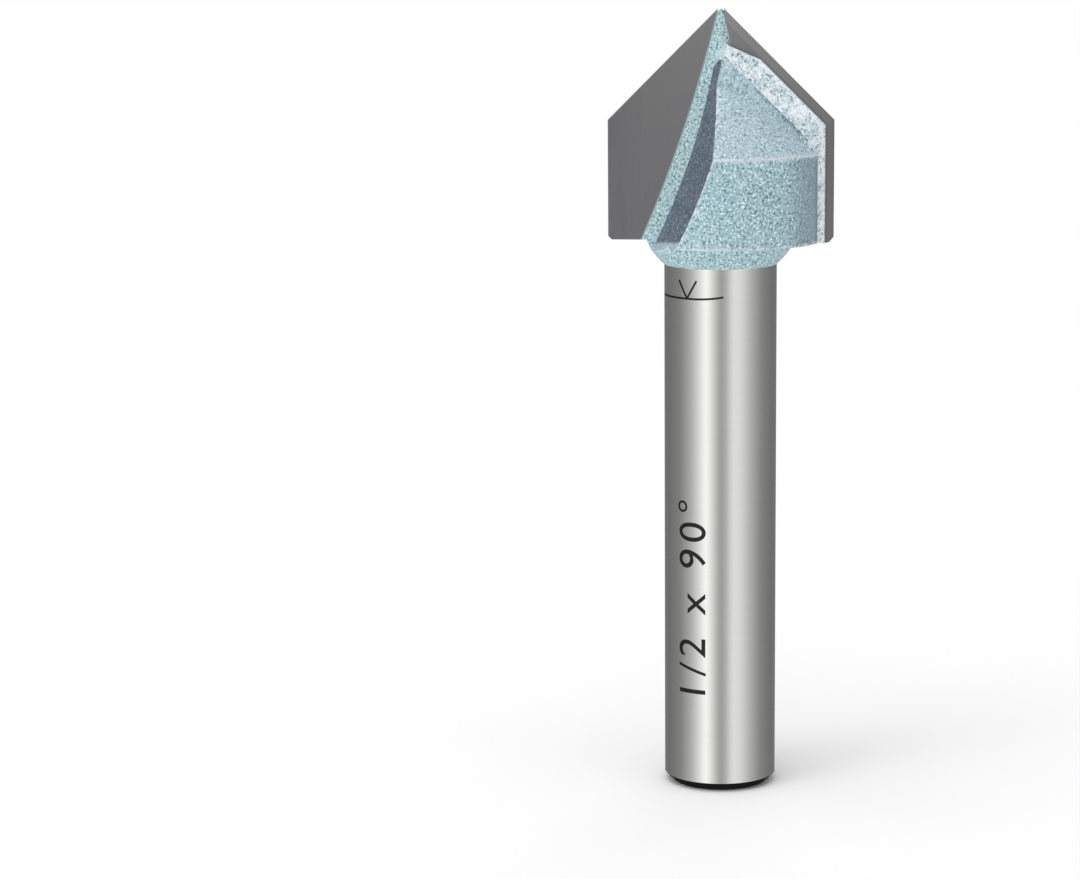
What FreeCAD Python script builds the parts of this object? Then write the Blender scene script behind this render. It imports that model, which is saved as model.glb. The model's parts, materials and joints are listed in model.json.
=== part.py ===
"""V groove router bit with two brazed carbide blades, in millimetres.

The bit stands on the end of its shank, with its tip up the Z axis. One tooth is modelled on
the +X side, with its cutting face towards +Y, and the other is the same tooth turned half round.
"""

import FreeCAD
import Part
import Sketcher
import math
import os
import re

# Driving sizes in mm and degrees. Depths are measured down from the point of the vee.
SIZES = {
    "overall_length": 44.45,
    "shank_diameter": 6.35,
    "end_chamfer": 0.5,
    # The cutting outline: a vee that runs into straight sides
    "cutting_diameter": 12.7,
    "cutting_length": 13.1,
    "vee_angle": 90.0,
    # The blades, flat plates ground back from the cutting edge
    "blade_thickness": 1.3,
    "relief_angle": 14.0,
    "rake_ahead": 0.15,
    "tip_gap": 0.12,
    "inner_edge_foot": 4.5,
    "inner_edge_radius": 80.0,
    "corner_break": 0.2,
    "braze_gap": 0.08,
    # The turned head and its neck
    "head_diameter": 11.4,
    "cone_depth": 2.45,
    "neck_length": 1.33,
    "neck_diameter": 8.4,
    "neck_radius": 4.0,
    # The backing fin behind each blade
    "fin_step": 0.1,
    "fin_edge": 0.1,
    "bevel_depth": 0.55,
    "bevel_angle": 65.0,
    "crown_reach": 2.25,
    "crown_slope": 24.0,
    # The gullet in front of each blade
    "gullet_start": 1.9,
    "gullet_reach": 0.3,
    "gullet_turn": 2.9,
    "gullet_offset": 0.3,
    "land_width": 0.75,
    "wall_radius": 40.0,
    "wall_angle": 16.0,
    "gullet_runout": 0.35,
}

# Places that several features share, as expressions of the sizes
HEAD_BOTTOM = "(overall_length - cutting_length)"
SHANK_TOP = "(overall_length - cutting_length - neck_length)"
ABOVE_TIP = "(overall_length + shank_diameter / 2)"
BELOW_HEAD = "(overall_length - cutting_length - 2 * neck_length)"
PAST_SIDE = "(cutting_diameter / 2 + 1)"
SEAT_DEPTH = "(blade_thickness + braze_gap)"
FLANK_DEPTH = "(blade_thickness + braze_gap + fin_edge)"
CONE_FALL = "(1 / tan(vee_angle / 2))"


def bound(expression):
    """Point every size named in an expression at its cell in the sheet."""
    return re.sub(r"\b[a-z]+(?:_[a-z]+)+\b", r"Sizes.\g<0>", expression)


def make_sheet(doc):
    """Keep the driving sizes in a sheet, one named cell for each."""
    sheet = doc.addObject("Spreadsheet::Sheet", "Sizes")
    for row, (name, value) in enumerate(SIZES.items(), start=1):
        sheet.set(f"A{row}", name)
        sheet.set(f"B{row}", str(value))
        sheet.setAlias(f"B{row}", name)
    doc.recompute()
    return sheet


def make_body(doc, label):
    """An empty piece whose label is also its file's name."""
    body = doc.addObject("PartDesign::Body", label)
    body.Label = label
    doc.recompute()
    return body


def origin_feature(body, role):
    """A plane or axis of the piece's own origin."""
    return next(item for item in body.Origin.OriginFeatures if item.Role == role)


def arc_between(start, end, radius):
    """An arc and the numbers of its ends; the centre lies left of the way for a positive radius."""
    chord = end - start
    left = FreeCAD.Vector(-chord.y, chord.x, 0).normalize()
    lift = math.sqrt(radius**2 - (chord.Length / 2) ** 2)
    centre = (start + end) / 2 + left * math.copysign(lift, radius)
    circle = Part.Circle(centre, FreeCAD.Vector(0, 0, 1), abs(radius))
    first, last = (start, end) if radius > 0 else (end, start)
    turn = [math.atan2(point.y - centre.y, point.x - centre.x) for point in (first, last)]
    return Part.ArcOfCircle(circle, *turn), ((1, 2) if radius > 0 else (2, 1))


def draw_outline(sketch, points, arcs):
    """Close a loop through points given as expressions; arcs maps a side's number to its radius."""
    value = [FreeCAD.Vector(*(float(sketch.evalExpression(bound(item))) for item in point), 0)
             for point in points]
    ends = []
    for side, start in enumerate(value):
        end = value[(side + 1) % len(value)]
        if side in arcs:
            radius = float(sketch.evalExpression(bound(arcs[side])))
            geometry, order = arc_between(start, end, radius)
        else:
            geometry, order = Part.LineSegment(start, end), (1, 2)
        ends.append((sketch.addGeometry(geometry, False), *order))
    for side, (edge, _, last) in enumerate(ends):
        following = ends[(side + 1) % len(ends)]
        sketch.addConstraint(Sketcher.Constraint("Coincident", edge, last, *following[:2]))
    for (edge, first, _), point, place in zip(ends, points, value):
        tie(sketch, ("DistanceX", -1, 1, edge, first, place.x), point[0])
        tie(sketch, ("DistanceY", -1, 1, edge, first, place.y), point[1])
    for side, radius in arcs.items():
        size = f"abs({radius})"
        tie(sketch, ("Radius", ends[side][0], float(sketch.evalExpression(bound(size)))), size)


def tie(sketch, constraint, expression):
    """Add one dimension and bind it to the sheet."""
    number = sketch.addConstraint(Sketcher.Constraint(*constraint))
    sketch.setExpression(f"Constraints[{number}]", bound(expression))


def new_sketch(body, name, points, arcs=None, ahead="0"):
    """A closed outline in a plane along the axis, a distance ahead of it towards -Y."""
    sketch = body.newObject("Sketcher::SketchObject", name)
    sketch.AttachmentSupport = [(origin_feature(body, "XZ_Plane"), "")]
    sketch.MapMode = "FlatFace"
    sketch.setExpression("AttachmentOffset.Base.z", bound(ahead))
    draw_outline(sketch, points, arcs or {})
    return sketch


def add_feature(body, kind, name, sketch, **settings):
    """Add a feature on a sketch; text settings are expressions, others are plain values."""
    feature = body.newObject(f"PartDesign::{kind}", name)
    feature.Profile = sketch
    for setting, value in settings.items():
        if isinstance(value, str):
            feature.setExpression(setting, bound(value))
        else:
            setattr(feature, setting, value)
    return feature


def turn_feature(body, kind, name, sketch):
    """Turn a sketch once round the bit's axis, adding or cutting."""
    feature = body.newObject(f"PartDesign::{kind}", name)
    feature.Profile = sketch
    feature.ReferenceAxis = (sketch, ["V_Axis"])
    feature.Angle = 360.0
    return feature


def cutting_outline(inset):
    """The straight side and the vee, moved inwards, closed inside the shank and below the head."""
    side = f"(cutting_diameter / 2 - ({inset}))"
    across = f"(({inset}) / cos(vee_angle / 2))"
    inside = "shank_diameter / 4"
    vee = f"overall_length - ({{}} + {across}) * {CONE_FALL}"
    return [
        (f"-{inside}", BELOW_HEAD),
        (side, BELOW_HEAD),
        (side, vee.format(side)),
        ("0", vee.format("0")),
        (f"-{inside}", vee.format(inside)),
    ]


def inner_edge(shift, overrun):
    """A blade's inner edge from above the tip to below the head, moved towards the axis."""
    top, foot = f"tip_gap - ({shift})", f"inner_edge_foot - ({shift})"
    return [
        (top, ABOVE_TIP),
        (top, "overall_length"),
        (foot, HEAD_BOTTOM),
        (foot, f"{HEAD_BOTTOM} - ({overrun})"),
    ]


def make_blank(body):
    """The turned shank and the head with its cone."""
    cone_top = "(overall_length - cone_depth)"
    points = [
        ("0", "0"),
        ("shank_diameter / 2 - end_chamfer", "0"),
        ("shank_diameter / 2", "end_chamfer"),
        ("shank_diameter / 2", SHANK_TOP),
        ("head_diameter / 2", SHANK_TOP),
        ("head_diameter / 2", f"{cone_top} - head_diameter / 2 * {CONE_FALL}"),
        ("0", cone_top),
    ]
    sketch = new_sketch(body, "BlankProfile", points)
    return turn_feature(body, "Revolution", "Blank", sketch)


def add_fin(body):
    """Steel that backs the blade, with the blade's own relief and then a steep bevel."""
    back = f"({FLANK_DEPTH} * tan(relief_angle))"
    flank_sketch = new_sketch(body, "FinOutline", cutting_outline("fin_step"), ahead="-rake_ahead")
    flank = add_feature(body, "Pad", "FinFlank", flank_sketch, Length=FLANK_DEPTH,
                        TaperAngle="-relief_angle")
    bevel_outline = cutting_outline(f"fin_step + {back}")
    bevel_sketch = new_sketch(body, "BevelOutline", bevel_outline,
                              ahead=f"{FLANK_DEPTH} - rake_ahead")
    bevel = add_feature(body, "Pad", "FinBevel", bevel_sketch, Length="bevel_depth",
                        TaperAngle="-bevel_angle")
    return [flank, bevel]


def cut_crown(body):
    """The fin stops short of the point along a sloping line and leaves only the web above it."""
    back = f"((fin_step + {FLANK_DEPTH} * tan(relief_angle)) / cos(vee_angle / 2))"
    foot = f"(overall_length - (crown_reach + {back}))"
    left = "(-shank_diameter / 2)"
    points = [
        (left, f"{foot} + (crown_reach + shank_diameter / 2) * tan(crown_slope)"),
        ("crown_reach", foot),
        (PAST_SIDE, foot),
        (PAST_SIDE, ABOVE_TIP),
        (left, ABOVE_TIP),
    ]
    sketch = new_sketch(body, "CrownOutline", points, ahead="rake_ahead")
    return add_feature(body, "Pocket", "Crown", sketch, Length="cutting_diameter", Reversed=True)


def cut_gullet(body):
    """The chip space in front of the other blade, with a flat floor and one wall that leans out."""
    run = "(cutting_length + gullet_runout)"
    foot, outside = "land_width - inner_edge_foot", f"-{PAST_SIDE}"
    points = [
        ("gullet_reach", "overall_length - gullet_start"),
        ("gullet_reach", ABOVE_TIP),
        (outside, ABOVE_TIP),
        (outside, f"overall_length - {run}"),
        (foot, f"overall_length - {run}"),
        ("-gullet_offset", "overall_length - gullet_turn"),
    ]
    sketch = new_sketch(body, "GulletOutline", points, {4: "wall_radius"}, ahead="rake_ahead")
    gullet = add_feature(body, "Pocket", "Gullet", sketch, Length="cutting_diameter",
                         UseCustomVector=True, AlongSketchNormal=True)
    gullet.Direction = FreeCAD.Vector(0, -1, 0)
    gullet.setExpression("Direction.x", bound("sin(wall_angle)"))
    gullet.setExpression("Direction.y", bound("-cos(wall_angle)"))
    return gullet


def cut_seat(body, shift, depth):
    """Clear the space outside an inner edge, from in front of the cutting face to a depth."""
    points = inner_edge(shift, "neck_length / 2")
    points += [(PAST_SIDE, points[-1][1]), (PAST_SIDE, ABOVE_TIP)]
    sketch = new_sketch(body, "SeatOutline", points, {1: f"inner_edge_radius + {shift}"},
                        ahead="-rake_ahead")
    return add_feature(body, "Pocket", "Seat", sketch, Length=depth, Reversed=True)


def trim_inside(body, shift):
    """Cut a blade or its braze off along the inner edge."""
    inside = "(-shank_diameter / 2)"
    points = inner_edge(shift, "3 * neck_length")
    points += [(inside, points[-1][1]), (inside, ABOVE_TIP)]
    sketch = new_sketch(body, "InnerEdge", points, {1: f"inner_edge_radius + {shift}"},
                        ahead="-rake_ahead")
    return add_feature(body, "Pocket", "InnerTrim", sketch, Length="cutting_diameter",
                       Reversed=True)


def trim_bottom(body):
    """Cut a blade or its braze off level with the head, with the outer corner broken."""
    inside, under = "(-shank_diameter / 2)", f"{HEAD_BOTTOM} - 3 * neck_length"
    points = [
        (inside, HEAD_BOTTOM),
        (inside, under),
        (PAST_SIDE, under),
        (PAST_SIDE, f"{HEAD_BOTTOM} + {PAST_SIDE} - cutting_diameter / 2 + corner_break"),
        ("cutting_diameter / 2 - corner_break", HEAD_BOTTOM),
    ]
    sketch = new_sketch(body, "BottomEdge", points, ahead="-rake_ahead")
    return add_feature(body, "Pocket", "BottomTrim", sketch, Length="cutting_diameter",
                       Reversed=True)


def cut_neck(body):
    """The neck is turned last, under the head and under both fins."""
    points = [
        ("shank_diameter / 2", BELOW_HEAD),
        (PAST_SIDE, BELOW_HEAD),
        (PAST_SIDE, HEAD_BOTTOM),
        ("neck_diameter / 2", HEAD_BOTTOM),
        ("shank_diameter / 2", SHANK_TOP),
    ]
    sketch = new_sketch(body, "NeckProfile", points, {3: "-neck_radius"})
    return turn_feature(body, "Groove", "Neck", sketch)


def turn_half_round(body, name, features):
    """Repeat features on the other side of the bit's axis."""
    body.Document.recompute()
    pattern = body.newObject("PartDesign::PolarPattern", name)
    pattern.Originals = features
    pattern.Axis = (origin_feature(body, "Z_Axis"), [""])
    pattern.Angle = 360.0
    pattern.Occurrences = 2
    body.Tip = pattern
    body.Document.recompute()


def make_bit_body(doc):
    """The steel body: shank, neck, head, two fins, two gullets and two seats."""
    body = make_body(doc, "bit_body")
    make_blank(body)
    turn_half_round(body, "SecondFin", add_fin(body))
    cuts = [cut_crown(body), cut_gullet(body), cut_seat(body, "braze_gap", SEAT_DEPTH)]
    turn_half_round(body, "SecondCuts", cuts)
    cut_neck(body)
    return body


def make_blade(doc, letter):
    """A flat carbide blade, ground back from the vee and from the side."""
    body = make_body(doc, f"carbide_blade_{letter}")
    outline = new_sketch(body, "CuttingOutline", cutting_outline("0"), ahead="-rake_ahead")
    add_feature(body, "Pad", "Plate", outline, Length="blade_thickness",
                TaperAngle="-relief_angle")
    trim_inside(body, "0")
    trim_bottom(body)
    return body


def make_braze(doc, letter):
    """The braze between a blade and its seat: a sheet at the back and a strip up the inner side."""
    body = make_body(doc, f"braze_layer_{letter}")
    outline = new_sketch(body, "BrazeOutline", cutting_outline("fin_step"), ahead="-rake_ahead")
    add_feature(body, "Pad", "Fill", outline, Length=SEAT_DEPTH, TaperAngle="-relief_angle")
    trim_inside(body, "braze_gap")
    trim_bottom(body)
    cut_crown(body)
    cut_seat(body, "0", "blade_thickness")
    return body


def build():
    """Make the whole bit; tooth b stays on the +X side and tooth a is turned half round."""
    doc = FreeCAD.newDocument("RouterBit")
    make_sheet(doc)
    pieces = [make_bit_body(doc)]
    for letter, turn in (("a", 180.0), ("b", 0.0)):
        for piece in (make_blade(doc, letter), make_braze(doc, letter)):
            piece.Placement.Rotation = FreeCAD.Rotation(FreeCAD.Vector(0, 0, 1), turn)
            pieces.append(piece)
    doc.recompute()
    return doc, pieces


def check(doc, pieces):
    """Stop before anything is written if an object failed or a piece is not a sound solid."""
    for item in doc.Objects:
        faults = {"Invalid", "Error"} & set(item.State)
        if faults:
            raise RuntimeError(f"{item.Label}: {faults}")
    for piece in pieces:
        if piece.Shape.isNull() or not piece.Shape.isValid() or len(piece.Shape.Solids) != 1:
            raise RuntimeError(f"{piece.Label} is not one valid solid")


def export(pieces):
    """Write each piece to a file that carries its label."""
    os.makedirs("parts", exist_ok=True)
    for piece in pieces:
        piece.Shape.exportStep(f"parts/{piece.Label}.step")
        box = piece.Shape.BoundBox
        print(piece.Label, round(piece.Shape.Volume, 3), [round(v, 3) for v in (
            box.XMin, box.XMax, box.YMin, box.YMax, box.ZMin, box.ZMax)])


document, all_pieces = build()
check(document, all_pieces)
export(all_pieces)
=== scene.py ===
import bmesh
import bpy
import json
import math
from mathutils import Matrix, Vector


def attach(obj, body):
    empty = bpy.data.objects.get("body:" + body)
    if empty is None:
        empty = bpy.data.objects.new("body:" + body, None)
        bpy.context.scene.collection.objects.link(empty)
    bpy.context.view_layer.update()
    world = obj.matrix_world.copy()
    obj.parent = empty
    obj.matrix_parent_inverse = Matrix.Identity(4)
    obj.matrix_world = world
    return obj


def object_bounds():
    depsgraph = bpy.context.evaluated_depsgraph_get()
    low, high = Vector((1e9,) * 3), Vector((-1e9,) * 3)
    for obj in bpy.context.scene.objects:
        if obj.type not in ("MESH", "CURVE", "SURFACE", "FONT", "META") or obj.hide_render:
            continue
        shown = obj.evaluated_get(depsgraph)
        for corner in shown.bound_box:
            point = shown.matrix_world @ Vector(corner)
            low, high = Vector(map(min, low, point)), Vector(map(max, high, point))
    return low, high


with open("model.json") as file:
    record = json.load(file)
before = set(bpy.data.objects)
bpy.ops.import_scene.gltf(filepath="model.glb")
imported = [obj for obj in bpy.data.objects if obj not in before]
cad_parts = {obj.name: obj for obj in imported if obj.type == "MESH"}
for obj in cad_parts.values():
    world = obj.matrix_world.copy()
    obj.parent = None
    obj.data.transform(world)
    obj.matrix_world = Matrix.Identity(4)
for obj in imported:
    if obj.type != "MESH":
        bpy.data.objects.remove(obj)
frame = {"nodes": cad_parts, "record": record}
cad_low, cad_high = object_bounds()


# The view. The bit is seen from a little above its tip and a few degrees to the right of
# square on, and it stands right of the middle of the picture.
MM = 0.001
VIEW_TURN = math.radians(4.0)
VIEW_DISTANCE = 178 * MM
VIEW_HEIGHT = 51.4 * MM
AIM_LEFT = math.radians(3.31)
AIM_DOWN = math.radians(10.02)
ROLL = math.radians(-0.5)
FILM_WIDTH = 36.0
LENS_LENGTH = 105.5
NEAREST_SEEN = 10 * MM


def put(name, data):
    """Place an object made of this data in the scene."""
    item = bpy.data.objects.new(name, data)
    bpy.context.scene.collection.objects.link(item)
    return item


lens = bpy.data.cameras.new("view")
lens.sensor_width = FILM_WIDTH
lens.lens = LENS_LENGTH
lens.clip_start = NEAREST_SEEN
viewer = put("view", lens)
viewer.matrix_world = (
    Matrix.Rotation(VIEW_TURN, 4, "Z")
    @ Matrix.Translation((0, -VIEW_DISTANCE, VIEW_HEIGHT))
    @ Matrix.Rotation(AIM_LEFT, 4, "Z")
    @ Matrix.Rotation(math.pi / 2 - AIM_DOWN, 4, "X")
    @ Matrix.Rotation(ROLL, 4, "Z")
)
bpy.context.scene.camera = viewer
bpy.context.scene.view_settings.view_transform = "Standard"


# The studio. A pale floor and a white surround, soft lamps above, behind and at both sides,
# and a tall drum round the bit that only its metal sees: light panels with darker gaps.
WHITE = (1.0, 1.0, 1.0, 1.0)
SURROUND_LIGHT = 0.62
FLOOR_WHITE = (0.97, 0.97, 0.97, 1.0)
FLOOR_HALF = 2.0
SHADOW_FULL, SHADOW_GONE = 3 * MM, 60 * MM  # how far from the bit the floor shows a shadow
DRUM_RADIUS, DRUM_HEIGHT = 0.5, 2.0
PANEL_WARMTH = 0.985  # the share of blue in the panels' white
PANELS = (  # angle from the view in degrees, brightness
    (-180, 0.95), (-174, 0.7), (-165, 0.2), (-154, 0.24), (-136, 0.22), (-90, 0.34), (-62, 0.66),
    (-44, 1.12), (-29, 1.72), (-14, 1.0), (0, 0.44), (12, 0.64), (26, 1.27), (42, 1.14),
    (64, 0.7), (92, 0.36), (132, 0.23), (152, 0.24), (165, 0.2), (174, 0.7),
    (180, 0.95))
LAMPS = (  # name, place, width, height, power in watts
    ("top_lamp", (-0.10, -0.16, 0.62), 0.5, 0.5, 1.5),
    ("left_lamp", (-0.42, -0.42, 0.25), 0.3, 0.5, 0.85),
    ("right_lamp", (0.45, -0.30, 0.20), 0.3, 0.5, 0.04),
    ("back_lamp", (0.10, 0.60, 0.30), 0.5, 0.5, 0.7))
LAMPS_AIM = Vector((0, 0, 30 * MM))


def calculated(tree, operation, *values):
    """A sum on values, each of them a number or a socket."""
    node = tree.nodes.new("ShaderNodeMath")
    node.operation = operation
    for socket, value in zip(node.inputs, values):
        if isinstance(value, bpy.types.NodeSocket):
            tree.links.new(value, socket)
        else:
            socket.default_value = value
    return node.outputs["Value"]


def faded(tree, value, start, end, most=1.0, course="LINEAR"):
    """A fade from 0 where a value is at the start to the most where it is at the end."""
    node = tree.nodes.new("ShaderNodeMapRange")
    node.interpolation_type = course
    node.inputs["From Min"].default_value = start
    node.inputs["From Max"].default_value = end
    node.inputs["To Max"].default_value = most
    tree.links.new(value, node.inputs["Value"])
    return node.outputs["Result"]


def crossed(tree, amount, first, second, surface):
    """Join two shaders by an amount and give them to a surface."""
    node = tree.nodes.new("ShaderNodeMixShader")
    tree.links.new(amount, node.inputs["Fac"])
    tree.links.new(first.outputs[0], node.inputs[1])
    tree.links.new(second.outputs[0], node.inputs[2])
    tree.links.new(node.outputs[0], surface)


def made_mesh(name, shape):
    """The mesh of a finished shape."""
    mesh = bpy.data.meshes.new(name)
    shape.to_mesh(mesh)
    shape.free()
    return mesh


world = bpy.data.worlds.new("white_surround")
bpy.context.scene.world = world
world.use_nodes = True
tree = world.node_tree
tree.nodes.clear()
path = tree.nodes.new("ShaderNodeLightPath")
light = tree.nodes.new("ShaderNodeBackground")
light.inputs["Color"].default_value = WHITE
light.inputs["Strength"].default_value = SURROUND_LIGHT
paper = tree.nodes.new("ShaderNodeBackground")
paper.inputs["Color"].default_value = WHITE
paper.inputs["Strength"].default_value = 1.0
output = tree.nodes.new("ShaderNodeOutputWorld")
seen = calculated(tree, "MAXIMUM", path.outputs["Is Camera Ray"], path.outputs["Is Glossy Ray"])
seen = calculated(tree, "MAXIMUM", seen, path.outputs["Is Transmission Ray"])
crossed(tree, seen, light, paper, output.inputs["Surface"])

shape = bmesh.new()
bmesh.ops.create_grid(shape, x_segments=1, y_segments=1, size=FLOOR_HALF)
floor = put("floor", made_mesh("floor", shape))
floor_paper = bpy.data.materials.new("floor_paper")
floor_paper.use_nodes = True
tree = floor_paper.node_tree
look = tree.nodes["Principled BSDF"]
look.inputs["Base Color"].default_value = FLOOR_WHITE
look.inputs["Roughness"].default_value = 0.9
look.inputs["Specular IOR Level"].default_value = 0.1
place = tree.nodes.new("ShaderNodeTexCoord")
path = tree.nodes.new("ShaderNodeLightPath")
white = tree.nodes.new("ShaderNodeEmission")
away = tree.nodes.new("ShaderNodeVectorMath")
away.operation = "LENGTH"
tree.links.new(place.outputs["Object"], away.inputs[0])
far = faded(tree, away.outputs["Value"], SHADOW_FULL, SHADOW_GONE, course="SMOOTHSTEP")
seen = calculated(tree, "MULTIPLY", far, path.outputs["Is Camera Ray"])
crossed(tree, seen, look, white, tree.nodes["Material Output"].inputs["Surface"])
floor.data.materials.append(floor_paper)
floor.visible_glossy = False

shape = bmesh.new()
bmesh.ops.create_cone(shape, segments=96, radius1=DRUM_RADIUS, radius2=DRUM_RADIUS,
                      depth=DRUM_HEIGHT)
drum = put("drum", made_mesh("drum", shape))
panels = bpy.data.materials.new("light_panels")
panels.use_nodes = True
tree = panels.node_tree
tree.nodes.clear()
place = tree.nodes.new("ShaderNodeTexCoord")
turned = tree.nodes.new("ShaderNodeMapping")
turned.inputs["Rotation"].default_value = (0, 0, math.pi / 2 - VIEW_TURN)
around = tree.nodes.new("ShaderNodeTexGradient")
around.gradient_type = "RADIAL"
ramp = tree.nodes.new("ShaderNodeValToRGB")
glow = tree.nodes.new("ShaderNodeEmission")
output = tree.nodes.new("ShaderNodeOutputMaterial")
tree.links.new(place.outputs["Object"], turned.inputs["Vector"])
tree.links.new(turned.outputs[0], around.inputs["Vector"])
tree.links.new(around.outputs["Fac"], ramp.inputs["Fac"])
tree.links.new(ramp.outputs["Color"], glow.inputs["Color"])
tree.links.new(glow.outputs[0], output.inputs["Surface"])
stops = ramp.color_ramp.elements
for index, (angle, level) in enumerate(PANELS):
    share = (angle + 180) / 360
    stop = stops[index] if index < 2 else stops.new(share)
    stop.position = share
    stop.color = (level, level, level * PANEL_WARMTH, 1.0)
panels.cycles.emission_sampling = "NONE"
drum.data.materials.append(panels)
drum.visible_camera = drum.visible_diffuse = drum.visible_shadow = False
drum.visible_transmission = False

for name, spot, width, height, power in LAMPS:
    lamp = put(name, bpy.data.lights.new(name, "AREA"))
    lamp.data.shape = "RECTANGLE"
    lamp.data.size, lamp.data.size_y = width, height
    lamp.data.energy = power
    aim = (LAMPS_AIM - Vector(spot)).to_track_quat("-Z", "Y").to_matrix().to_4x4()
    lamp.matrix_world = Matrix.Translation(spot) @ aim
    lamp.visible_glossy = False
    lamp.visible_camera = False


# The body: one piece of turned steel. The head and neck carry a baked coating full of pale
# and dark flecks, with painted highlights on its edges and painted shade in its creases, and
# the shank is centreless ground and left bare.
body = frame["nodes"]["bit_body"]
grip = next(mount for mount in frame["record"]["mounts"] if mount["name"] == "shank")["dims"]
SHANK_RADIUS = grip["r_mm"] * MM
CHAMFER_TOP = 0.5 * MM
HEAD_FOOT = CHAMFER_TOP + grip["length_mm"] * MM
NECK_TOP = 31.34 * MM
CONE_FOOT = 36.3 * MM
CONE_NORMAL = (0.6, 0.8)  # how much of the cone's normal lies up the axis
FIN_FOOT = 5.55 * MM  # from the axis, like the next two
NEAR_FIN = 3.9 * MM
FIN_SIDE = 5.0 * MM
BEVEL_FOOT = 42.12 * MM  # height on the axis of the line along the bevel's foot
GULLET_FLOOR_DEPTH = 0.3 * MM
POINT_FOOT = 40.95 * MM  # height of the wall's point at the gullet floor
POINT_SLOPE, WALL_FOOT_SLOPE = 0.45, 0.11  # rise of the point and of the foot off that floor
WALL_TOP = 41.5 * MM
WALL_LEAN = math.radians(16.0)
WALL_SIDE = 0.6  # the least that a wall's normal lies across the head
BEVEL_ANGLE = math.radians(65.0)
ALONG, SQUARE, MATCHED = 0.02, 0.99, 0.998  # cosines between a facet's normal and a direction

FLECKS, CLOUDS, BLOTS, SPECKS = 7200, 900, 2300, 5200  # cycles of a pattern in a metre
HIGHLIGHT_WAVES, HIGHLIGHT_PATCHES, GRIND_RINGS = 2600, 3600, 16000
FLECK_HEIGHT, RING_HEIGHT = 0.03 * MM, 0.004 * MM
CREASE_REACH, RIM_REACH = 0.22 * MM, 0.2 * MM
EDGE_SAMPLES = 8
CORNER_FADE = 0.3 * MM  # height over which the painted shade beside a fin comes in below the cone
HIGHLIGHT_WAVE = 0.2 * MM  # how far the painted highlight round the cone's foot goes up and down
HIGHLIGHT_CORE, HIGHLIGHT_HALF = 0.03 * MM, 0.14 * MM  # the highlight's strongest core and its half width
FOOT_HIGHLIGHT = (0.08 * MM, 0.26 * MM)  # how far below the neck's top the wall's painted highlight comes in
LEDGE_FAR, LEDGE_NEAR = 0.36 * MM, 0.04 * MM  # specks of painted shadow, measured from the bevel's foot
LEDGE_INNER, LEDGE_OUTER = 1.3 * MM, 2.8 * MM  # and from the axis, where they come in
RING_STRETCH = 0.03  # the rings' scale across the axis, as a share of that along it


def srgb(red, green, blue):
    """A colour given as it looks, 0 to 255, for a shader."""
    return tuple(((c / 255 + 0.055) / 1.055) ** 2.4 if c > 10 else c / 3295
                 for c in (red, green, blue)) + (1.0,)


def grey(level):
    """An even grey, which stands for an amount."""
    return (level, level, level, 1.0)


NONE, ALL = grey(0.0), grey(1.0)


def new_material(name):
    """A material with its shader and the object's own coordinates."""
    material = bpy.data.materials.new(name)
    material.use_nodes = True
    parts = material.node_tree.nodes
    return (material, material.node_tree, parts["Principled BSDF"],
            parts.new("ShaderNodeTexCoord").outputs["Object"])


def noise(tree, place, scale, detail=2.0, rough=0.6):
    """Smooth noise; scale is in cycles per metre."""
    node = tree.nodes.new("ShaderNodeTexNoise")
    node.inputs["Scale"].default_value = scale
    node.inputs["Detail"].default_value = detail
    node.inputs["Roughness"].default_value = rough
    tree.links.new(place, node.inputs["Vector"])
    return node.outputs["Fac"]


def steps(tree, value, stops):
    """A ramp from a value to colours, given as place and colour."""
    node = tree.nodes.new("ShaderNodeValToRGB")
    elements = node.color_ramp.elements
    for index, (share, colour) in enumerate(stops):
        element = elements[index] if index < 2 else elements.new(share)
        element.position = share
        element.color = colour
    tree.links.new(value, node.inputs["Fac"])
    return node.outputs["Color"]


def mixed(tree, amount, first, second, blend="MIX"):
    """One colour into another by an amount."""
    node = tree.nodes.new("ShaderNodeMix")
    node.data_type = "RGBA"
    node.blend_type = blend
    for socket, value in zip((node.inputs[0], node.inputs[6], node.inputs[7]),
                             (amount, first, second)):
        if isinstance(value, bpy.types.NodeSocket):
            tree.links.new(value, socket)
        else:
            socket.default_value = value
    return node.outputs[2]


def split(tree, place):
    """A place's three coordinates."""
    node = tree.nodes.new("ShaderNodeSeparateXYZ")
    tree.links.new(place, node.inputs[0])
    return node.outputs["X"], node.outputs["Y"], node.outputs["Z"]


def edges(tree, reach, inside):
    """How near a point is to an outer edge (inside) or to a crease, from 0 to 1."""
    node = tree.nodes.new("ShaderNodeAmbientOcclusion")
    node.samples = EDGE_SAMPLES
    node.inside = inside
    node.only_local = True
    node.inputs["Distance"].default_value = reach
    return calculated(tree, "SUBTRACT", 1.0, node.outputs["AO"])


def bump(tree, height, strength, distance, shader):
    """Raise the surface by a height pattern."""
    node = tree.nodes.new("ShaderNodeBump")
    node.inputs["Strength"].default_value = strength
    node.inputs["Distance"].default_value = distance
    tree.links.new(height, node.inputs["Height"])
    tree.links.new(node.outputs["Normal"], shader.inputs["Normal"])


def beside_fins(tree, place, coat, shade):
    """Paint shade on the cylinder under the cone towards each fin, most of all in the corner."""
    x, _, z = split(tree, place)
    near = faded(tree, calculated(tree, "ABSOLUTE", x), NEAR_FIN, FIN_FOOT)
    amount = steps(tree, near, [(0.0, NONE), (0.5, grey(0.46)), (0.86, grey(0.55)), (0.96, ALL)])
    below = faded(tree, z, CONE_FOOT, CONE_FOOT - CORNER_FADE)
    return mixed(tree, mixed(tree, below, NONE, amount), coat, shade)


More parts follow.
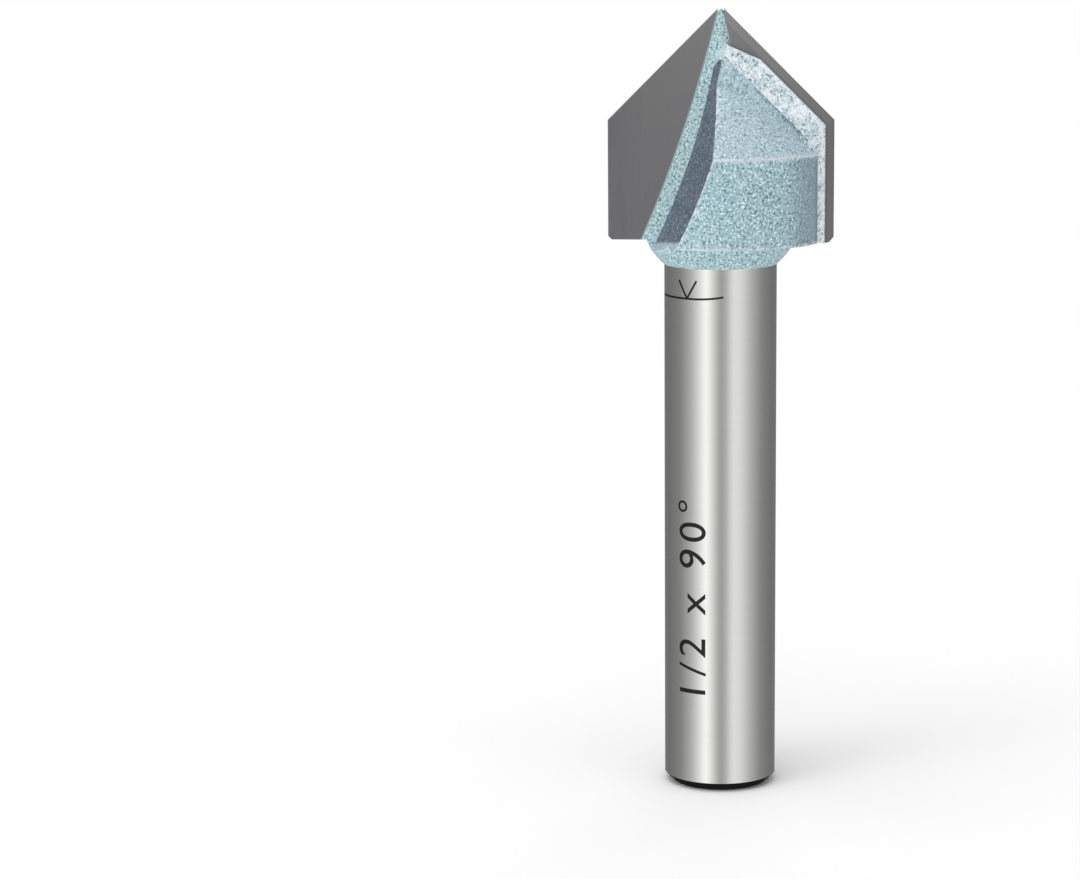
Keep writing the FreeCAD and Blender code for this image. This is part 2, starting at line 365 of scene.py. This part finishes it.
def highlight_ring(tree, place, coat, highlight):
    """Paint a highlight in a slightly wavy line round the foot of the cone."""
    wave = calculated(tree, "MULTIPLY_ADD", noise(tree, place, HIGHLIGHT_WAVES, 3.0, 0.7),
                      HIGHLIGHT_WAVE, -CONE_FOOT - HIGHLIGHT_WAVE / 2)
    gap = calculated(tree, "ABSOLUTE", calculated(tree, "ADD", split(tree, place)[2], wave))
    return mixed(tree, faded(tree, gap, HIGHLIGHT_HALF, HIGHLIGHT_CORE, most=0.55), coat, highlight)


def fleck_coating(name, deep, middle, pale, crease_shade, highlight=None, spread=1.0, turned=False,
                  blotch=None):
    """The head's coating: fine flecks, with painted shade in a crease and a patchy painted
    highlight along an outer edge. On the turned faces it also has a painted highlight in a line
    round the foot of the cone, and painted shade beside the fins."""
    material, tree, shader, place = new_material(name)
    fine = noise(tree, place, FLECKS, 2.0, 0.75)
    coat = steps(tree, fine, [(0.5 - 0.155 * spread, deep), (0.5 - 0.045 * spread, middle),
                              (0.5 + 0.055 * spread, middle), (0.5 + 0.165 * spread, pale)])
    tint = steps(tree, noise(tree, place, CLOUDS, 3.0, 0.6),
                 [(0.35, srgb(240, 246, 243)), (0.65, srgb(253, 253, 255))])
    coat = mixed(tree, 0.8, coat, tint, "MULTIPLY")
    if blotch:
        blots = noise(tree, place, BLOTS, 3.0, 0.65)
        coat = mixed(tree, steps(tree, blots, [(0.47, NONE), (0.62, grey(0.75))]), coat, blotch)
    # Painted shade, darker where the surface runs into a crease.
    low = steps(tree, edges(tree, CREASE_REACH, False), [(0.2, NONE), (0.6, grey(0.7))])
    coat = mixed(tree, low, coat, crease_shade)
    if turned:
        coat = beside_fins(tree, place, coat, srgb(118, 138, 150))
        coat = highlight_ring(tree, place, coat, highlight)
    if highlight:
        # A patchy painted highlight along the outer edges.
        rim = steps(tree, edges(tree, RIM_REACH, True), [(0.05, NONE), (0.19, ALL)])
        patchy = steps(tree, noise(tree, place, HIGHLIGHT_PATCHES), [(0.36, NONE), (0.6, grey(0.9))])
        coat = mixed(tree, mixed(tree, rim, NONE, patchy), coat, highlight)
    tree.links.new(coat, shader.inputs["Base Color"])
    shader.inputs["Roughness"].default_value = 0.5
    shader.inputs["Specular IOR Level"].default_value = 0.35
    bump(tree, fine, 0.5, FLECK_HEIGHT, shader)
    return material


def painted_over(material, finish):
    """Lay one more finish over a material's colour."""
    tree = material.node_tree
    colour = tree.nodes["Principled BSDF"].inputs["Base Color"]
    place = tree.nodes["Texture Coordinate"].outputs["Object"]
    tree.links.new(finish(tree, place, colour.links[0].from_socket), colour)


def pale_point(tree, place, wall):
    """Bring the gullet wall's painted shade to a point at the top, with the gullet floor's colour
    above it, and give it a pale painted highlight at its foot."""
    _, y, z = split(tree, place)
    depth = calculated(tree, "ABSOLUTE", y)
    limit = calculated(tree, "MULTIPLY_ADD", depth, POINT_SLOPE, POINT_FOOT)
    wall = mixed(tree, calculated(tree, "GREATER_THAN", z, limit), wall, srgb(168, 194, 200))
    level = calculated(tree, "MULTIPLY_ADD", depth, -WALL_FOOT_SLOPE, z)
    foot = faded(tree, level, NECK_TOP - FOOT_HIGHLIGHT[0], NECK_TOP - FOOT_HIGHLIGHT[1])
    highlight = steps(tree, noise(tree, place, FLECKS, 2.0, 0.75),
                 [(0.36, srgb(120, 148, 160)), (0.6, srgb(198, 206, 218))])
    return mixed(tree, foot, wall, highlight)


def ledge_shadow(tree, place, coat):
    """Paint shadow on the fin's flat back in dark specks along the foot of its bevel, more so
    lower down.
    """
    x, _, z = split(tree, place)
    across = calculated(tree, "ABSOLUTE", x)
    near = faded(tree, calculated(tree, "ADD", across, z), BEVEL_FOOT - LEDGE_FAR,
                 BEVEL_FOOT - LEDGE_NEAR)
    lower = faded(tree, across, LEDGE_INNER, LEDGE_OUTER)
    specks = steps(tree, noise(tree, place, SPECKS, 2.0, 0.7),
                   [(0.4, grey(0.2)), (0.58, grey(0.9))])
    amount = mixed(tree, near, NONE, mixed(tree, lower, NONE, specks))
    return mixed(tree, amount, coat, srgb(84, 98, 110))


def ground_steel(name, colour, rough):
    """Steel ground round the axis, with fine rings."""
    material, tree, shader, place = new_material(name)
    stretch = tree.nodes.new("ShaderNodeMapping")
    stretch.inputs["Scale"].default_value = (RING_STRETCH, RING_STRETCH, 1.0)
    tree.links.new(place, stretch.inputs["Vector"])
    rings = noise(tree, stretch.outputs[0], GRIND_RINGS, 3.0, 0.7)
    dull = tuple(c * 0.965 for c in colour[:3]) + (1.0,)
    tree.links.new(steps(tree, rings, [(0.3, dull), (0.7, colour)]), shader.inputs["Base Color"])
    shader.inputs["Metallic"].default_value = 1.0
    shader.inputs["Roughness"].default_value = rough
    bump(tree, rings, 0.06, RING_HEIGHT, shader)
    return material


# The colour of the painted highlights on the coating's edges.
edge_highlight = srgb(219, 222, 231)
coating = fleck_coating(
    "fleck_coating", deep=srgb(80, 118, 134), middle=srgb(166, 196, 204),
    pale=srgb(236, 250, 250), crease_shade=srgb(96, 118, 132), highlight=edge_highlight, spread=0.92, turned=True)
cone_coating = fleck_coating(
    "cone_coating", deep=srgb(106, 132, 150), middle=srgb(178, 198, 208),
    pale=srgb(226, 240, 244), crease_shade=srgb(120, 140, 152), highlight=edge_highlight, turned=True)
back_coating = fleck_coating(
    "fin_back_coating", deep=srgb(104, 132, 146), middle=srgb(174, 196, 203),
    pale=srgb(226, 240, 244), crease_shade=srgb(120, 140, 152))
painted_over(back_coating, ledge_shadow)
# The neck's coating is a paler copy: painted light on its downward faces, for light from below.
lit_neck_coating = fleck_coating(
    "lit_neck_coating", deep=srgb(84, 124, 140), middle=srgb(176, 207, 215),
    pale=srgb(242, 255, 255), crease_shade=srgb(112, 136, 148), highlight=edge_highlight, spread=0.92)
# The gullet wall's dark coating is painted shade, for a wall that faces away from the light.
shaded_wall_coating = fleck_coating(
    "gullet_wall_coating", deep=srgb(34, 38, 52), middle=srgb(87, 96, 109),
    pale=srgb(150, 170, 186), crease_shade=srgb(78, 88, 102), highlight=srgb(206, 209, 220), spread=0.7)
painted_over(shaded_wall_coating, pale_point)
bevel_coating = fleck_coating(
    "bevel_coating", deep=srgb(96, 116, 126), middle=srgb(198, 214, 221),
    pale=srgb(250, 255, 255), crease_shade=srgb(104, 120, 130), highlight=srgb(238, 242, 246), spread=0.9,
    blotch=srgb(243, 249, 253))
# The gullet floor's coating is a paler copy, its crease too: painted light that lifts the shade
# in the narrow gullet.
floor_coating = fleck_coating(
    "gullet_floor_coating", deep=srgb(94, 132, 144), middle=srgb(185, 216, 220),
    pale=srgb(246, 255, 254), crease_shade=srgb(158, 184, 192), spread=0.82)
shank_steel = ground_steel("ground_shank_steel", srgb(205, 205, 202), 0.22)
# The chamfer's near black is painted shade, a dark reflection given as its colour.
shaded_chamfer = ground_steel("dark_chamfer_steel", srgb(7, 7, 8), 0.6)
chamfer_look = shaded_chamfer.node_tree.nodes["Principled BSDF"]
chamfer_look.inputs["Metallic"].default_value = 0.0
chamfer_look.inputs["Specular IOR Level"].default_value = 0.05

WALL, BEVEL, SHANK, CHAMFER, CONE, GULLET_FLOOR, NECK, BACK = range(1, 9)  # 0 is the cylinder
body.data.materials.clear()
for finish in (coating, shaded_wall_coating, bevel_coating, shank_steel, shaded_chamfer, cone_coating,
               floor_coating, lit_neck_coating, back_coating):
    body.data.materials.append(finish)
wall_sweep = Vector((math.sin(WALL_LEAN), -math.cos(WALL_LEAN), 0))
vee_bevel = Vector((math.sqrt(0.5), -math.tan(BEVEL_ANGLE), math.sqrt(0.5))).normalized()
side_bevel = Vector((1.0, -math.tan(BEVEL_ANGLE), 0.0)).normalized()


def looks(normal, way):
    """Whether a facet of either half of the head looks the way given for one half."""
    turned_way = Vector((-way.x, -way.y, way.z))
    return max(normal.dot(way), normal.dot(turned_way)) > MATCHED


for facet in body.data.polygons:
    centre, normal = facet.center, facet.normal
    if centre.z < CHAMFER_TOP:
        facet.material_index = CHAMFER
    elif centre.z < HEAD_FOOT:
        facet.material_index = SHANK
    elif (abs(normal.dot(wall_sweep)) < ALONG and abs(normal.x) > WALL_SIDE
            and abs(normal.z) > ALONG):
        facet.material_index = WALL if centre.z < WALL_TOP else BEVEL
    elif looks(normal, vee_bevel) or abs(centre.x) > FIN_SIDE and looks(normal, side_bevel):
        facet.material_index = BEVEL
    elif abs(normal.y) > SQUARE and abs(centre.y) < GULLET_FLOOR_DEPTH:
        facet.material_index = GULLET_FLOOR
    elif centre.z > CONE_FOOT and abs(normal.y) > SQUARE:
        facet.material_index = BACK
    elif centre.z > CONE_FOOT and CONE_NORMAL[0] < normal.z < CONE_NORMAL[1]:
        facet.material_index = CONE
    elif centre.z < NECK_TOP:
        facet.material_index = NECK


# The blades: two flat plates of sintered carbide, ground on the face and on the relief behind
# each edge, dark grey with a dull shine, with a painted highlight along the cutting edge and
# painted light that makes the relief paler than the face and both paler inwards.
GRIND_LINES, CARBIDE_CLOUDS = 9000, 260  # cycles of a pattern in a metre
GRIND_LEAN = math.radians(12)
LINE_STRETCH = 0.02  # the lines' scale along them, as a share of that across
LINE_DEPTH = 0.004 * MM
EDGE_HIGHLIGHT_REACH = 0.07 * MM
RELIEF_TILT = (0.1, 0.6)  # how much of a relief facet's normal lies square to the blade


def ground_carbide(name, outer, inner, middle):
    """Dark carbide with the faint lines of the wheel, and painted light: paler inwards and on
    edges.
    """
    material, tree, shader, place = new_material(name)
    stretch = tree.nodes.new("ShaderNodeMapping")
    stretch.inputs["Rotation"].default_value = (0, GRIND_LEAN, 0)
    stretch.inputs["Scale"].default_value = (1.0, 1.0, LINE_STRETCH)
    tree.links.new(place, stretch.inputs["Vector"])
    lines = noise(tree, stretch.outputs[0], GRIND_LINES, 3.0, 0.7)
    look = steps(tree, lines, [(0.3, srgb(outer - 9, outer - 9, outer - 7)),
                               (0.7, srgb(outer, outer, outer + 2))])
    # Painted light: paler towards the axis.
    across = calculated(tree, "ABSOLUTE", split(tree, place)[0])
    look = mixed(tree, faded(tree, across, cad_high[0], 0.0), look,
                 srgb(inner, inner, inner + 1))
    soft = noise(tree, place, CARBIDE_CLOUDS, 2.0, 0.5)
    look = mixed(tree, steps(tree, soft, [(0.3, NONE), (0.7, grey(0.35))]), look,
                 srgb(middle, middle, middle + 2))
    # A painted highlight along the blade's edges.
    cutting_highlight = steps(tree, edges(tree, EDGE_HIGHLIGHT_REACH, True), [(0.15, NONE), (0.6, grey(0.5))])
    look = mixed(tree, cutting_highlight, look, srgb(150, 150, 152))
    tree.links.new(look, shader.inputs["Base Color"])
    shader.inputs["Metallic"].default_value = 0.55
    shader.inputs["Roughness"].default_value = 0.42
    bump(tree, lines, 0.1, LINE_DEPTH, shader)
    return material


ground_face = ground_carbide("ground_carbide", outer=108, inner=127, middle=115)
# The relief is a paler copy of the face's carbide: painted light on facets turned to the lamps.
ground_relief = ground_carbide("ground_relief", outer=143, inner=180, middle=154)
for letter in "ab":
    blade = frame["nodes"][f"carbide_blade_{letter}"]
    blade.data.materials.clear()
    blade.data.materials.append(ground_face)
    blade.data.materials.append(ground_relief)
    for facet in blade.data.polygons:
        facet.material_index = int(RELIEF_TILT[0] < abs(facet.normal.y) < RELIEF_TILT[1])


# The braze: a thin film of solder that holds each blade in its seat. It shows as a hair line
# round the blade, and the baked coating runs over it.
BRAZE_PATCHES = 1400  # cycles of the pattern in a metre


def braze_film(name):
    """Dull metal with the coating over it, thinner in places."""
    material, tree, shader, place = new_material(name)
    patches = noise(tree, place, BRAZE_PATCHES, 3.0, 0.6)
    colour = steps(tree, patches, [(0.4, srgb(150, 176, 182)), (0.75, srgb(168, 178, 174))])
    tree.links.new(colour, shader.inputs["Base Color"])
    shader.inputs["Metallic"].default_value = 0.3
    shader.inputs["Roughness"].default_value = 0.45
    return material


braze = braze_film("braze_film")
for letter in "ab":
    film = frame["nodes"][f"braze_layer_{letter}"]
    film.data.materials.clear()
    film.data.materials.append(braze)


# The set mark: a fine line and a small vee, etched dark on the shank to show how far it goes
# into the collet.
MARK_LIFT = 0.006 * MM
MARK_DEPTH = 0.004 * MM
MARK_WIDTH = 0.115 * MM
LINE_FROM, LINE_TURN, LINE_TO = -79.0, -25.0, 7.0  # degrees round the shank from the front
LINE_HEIGHT, LINE_RISE = 28.34, 0.00014  # mm, and mm for each degree squared past the turn
VEE = ((-42.6, 29.35), (-32.0, 28.35), (-20.9, 29.36))  # degrees, mm
LINE_CUTS, VEE_CUTS = 60, 10
OXIDE_PATCHES = 5200  # cycles of the pattern in a metre


def etch_finish(name):
    """Dark oxide left by the etching, a little uneven."""
    material, tree, shader, place = new_material(name)
    uneven = noise(tree, place, OXIDE_PATCHES)
    tree.links.new(steps(tree, uneven, [(0.3, srgb(10, 10, 11)), (0.7, srgb(26, 26, 28))]),
                   shader.inputs["Base Color"])
    shader.inputs["Metallic"].default_value = 0.4
    shader.inputs["Roughness"].default_value = 0.55
    return material


etch = etch_finish("etched_oxide")


def on_shank(angle, height):
    """A place on the unrolled shank from an angle in degrees and a height in mm."""
    return (math.radians(angle) * SHANK_RADIUS, height * MM)


def stroke(figure, path, cuts):
    """A stroke of even width along a path, which gives a place for each share of its run."""
    bar = bmesh.ops.create_grid(figure, x_segments=cuts, y_segments=1, size=0.5)["verts"]
    for vert in bar:
        share, across = vert.co.x + 0.5, vert.co.y * MARK_WIDTH
        here = Vector(path(share))
        ahead = (Vector(path(share + 0.01)) - here).normalized()
        vert.co = (here.x - ahead.y * across, here.y + ahead.x * across, 0)


def wrap(figure):
    """Lay a flat figure, with x round the shank in metres and y up it, on the shank."""
    for vert in figure.verts:
        turn, radius = vert.co.x / SHANK_RADIUS, SHANK_RADIUS + MARK_LIFT + vert.co.z
        vert.co = (radius * math.sin(turn), -radius * math.cos(turn), vert.co.y)


def etched(name, figure):
    """Give an etched figure its depth, lay it on the shank and finish it."""
    figure.normal_update()
    bmesh.ops.reverse_faces(figure, faces=[face for face in figure.faces if face.normal.z < 0])
    bmesh.ops.solidify(figure, geom=figure.faces[:], thickness=MARK_DEPTH)
    wrap(figure)
    if figure.calc_volume(signed=True) < 0:
        bmesh.ops.reverse_faces(figure, faces=figure.faces[:])
    piece = put(name, made_mesh(name, figure))
    piece.data.materials.append(etch)
    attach(piece, "root")


def line_path(share):
    """The line round the shank, which rises a little at its end."""
    angle = LINE_FROM + share * (LINE_TO - LINE_FROM)
    return on_shank(angle, LINE_HEIGHT + LINE_RISE * max(0.0, angle - LINE_TURN) ** 2)


figure = bmesh.new()
stroke(figure, line_path, LINE_CUTS)
for first, last in (VEE[:2], VEE[1:]):
    ends = Vector(on_shank(*first)), Vector(on_shank(*last))
    stroke(figure, lambda share, ends=ends: ends[0].lerp(ends[1], share), VEE_CUTS)
etched("set_mark", figure)


# The size marks: the cutting width in inches and the angle of the vee, etched up the shank in
# plain figures.
SIZE_WORDS = "1/2 x 90°"
FIGURE_HEIGHT = 1.72 * MM
FIGURE_SHARE = 0.69  # a figure's height as a share of the letter size
FIGURE_SPACING = 1.25
FIGURES_FROM = (-11.2, 5.2)  # degrees round the shank, height in mm
FIGURE_CUTS = 14  # flats across a figure, so that it follows the shank
CUTS_SHIFT = 0.45  # keeps a cut off the figures' feet
WELD, SLIVER = 0.001 * MM, 0.0005 * MM

words = bpy.data.curves.new("size_words", "FONT")
words.body = SIZE_WORDS
words.size = FIGURE_HEIGHT / FIGURE_SHARE
words.space_character = FIGURE_SPACING
written = put("size_words_flat", words)
bpy.context.view_layer.update()
flat = bpy.data.meshes.new_from_object(
    written.evaluated_get(bpy.context.evaluated_depsgraph_get()))
bpy.data.objects.remove(written)
figure = bmesh.new()
figure.from_mesh(flat)
bmesh.ops.remove_doubles(figure, verts=figure.verts[:], dist=WELD)
for cut in range(-2, FIGURE_CUTS + 2):
    height = (cut + CUTS_SHIFT) * FIGURE_HEIGHT / FIGURE_CUTS
    bmesh.ops.bisect_plane(figure, geom=figure.verts[:] + figure.edges[:] + figure.faces[:],
                           plane_co=(0, height, 0), plane_no=(0, 1, 0), dist=SLIVER)
bmesh.ops.dissolve_degenerate(figure, edges=figure.edges[:], dist=SLIVER)
bmesh.ops.rotate(figure, matrix=Matrix.Rotation(math.pi / 2, 3, "Z"), verts=figure.verts[:])
bmesh.ops.translate(figure, vec=(*on_shank(*FIGURES_FROM), 0), verts=figure.verts[:])
etched("size_marks", figure)
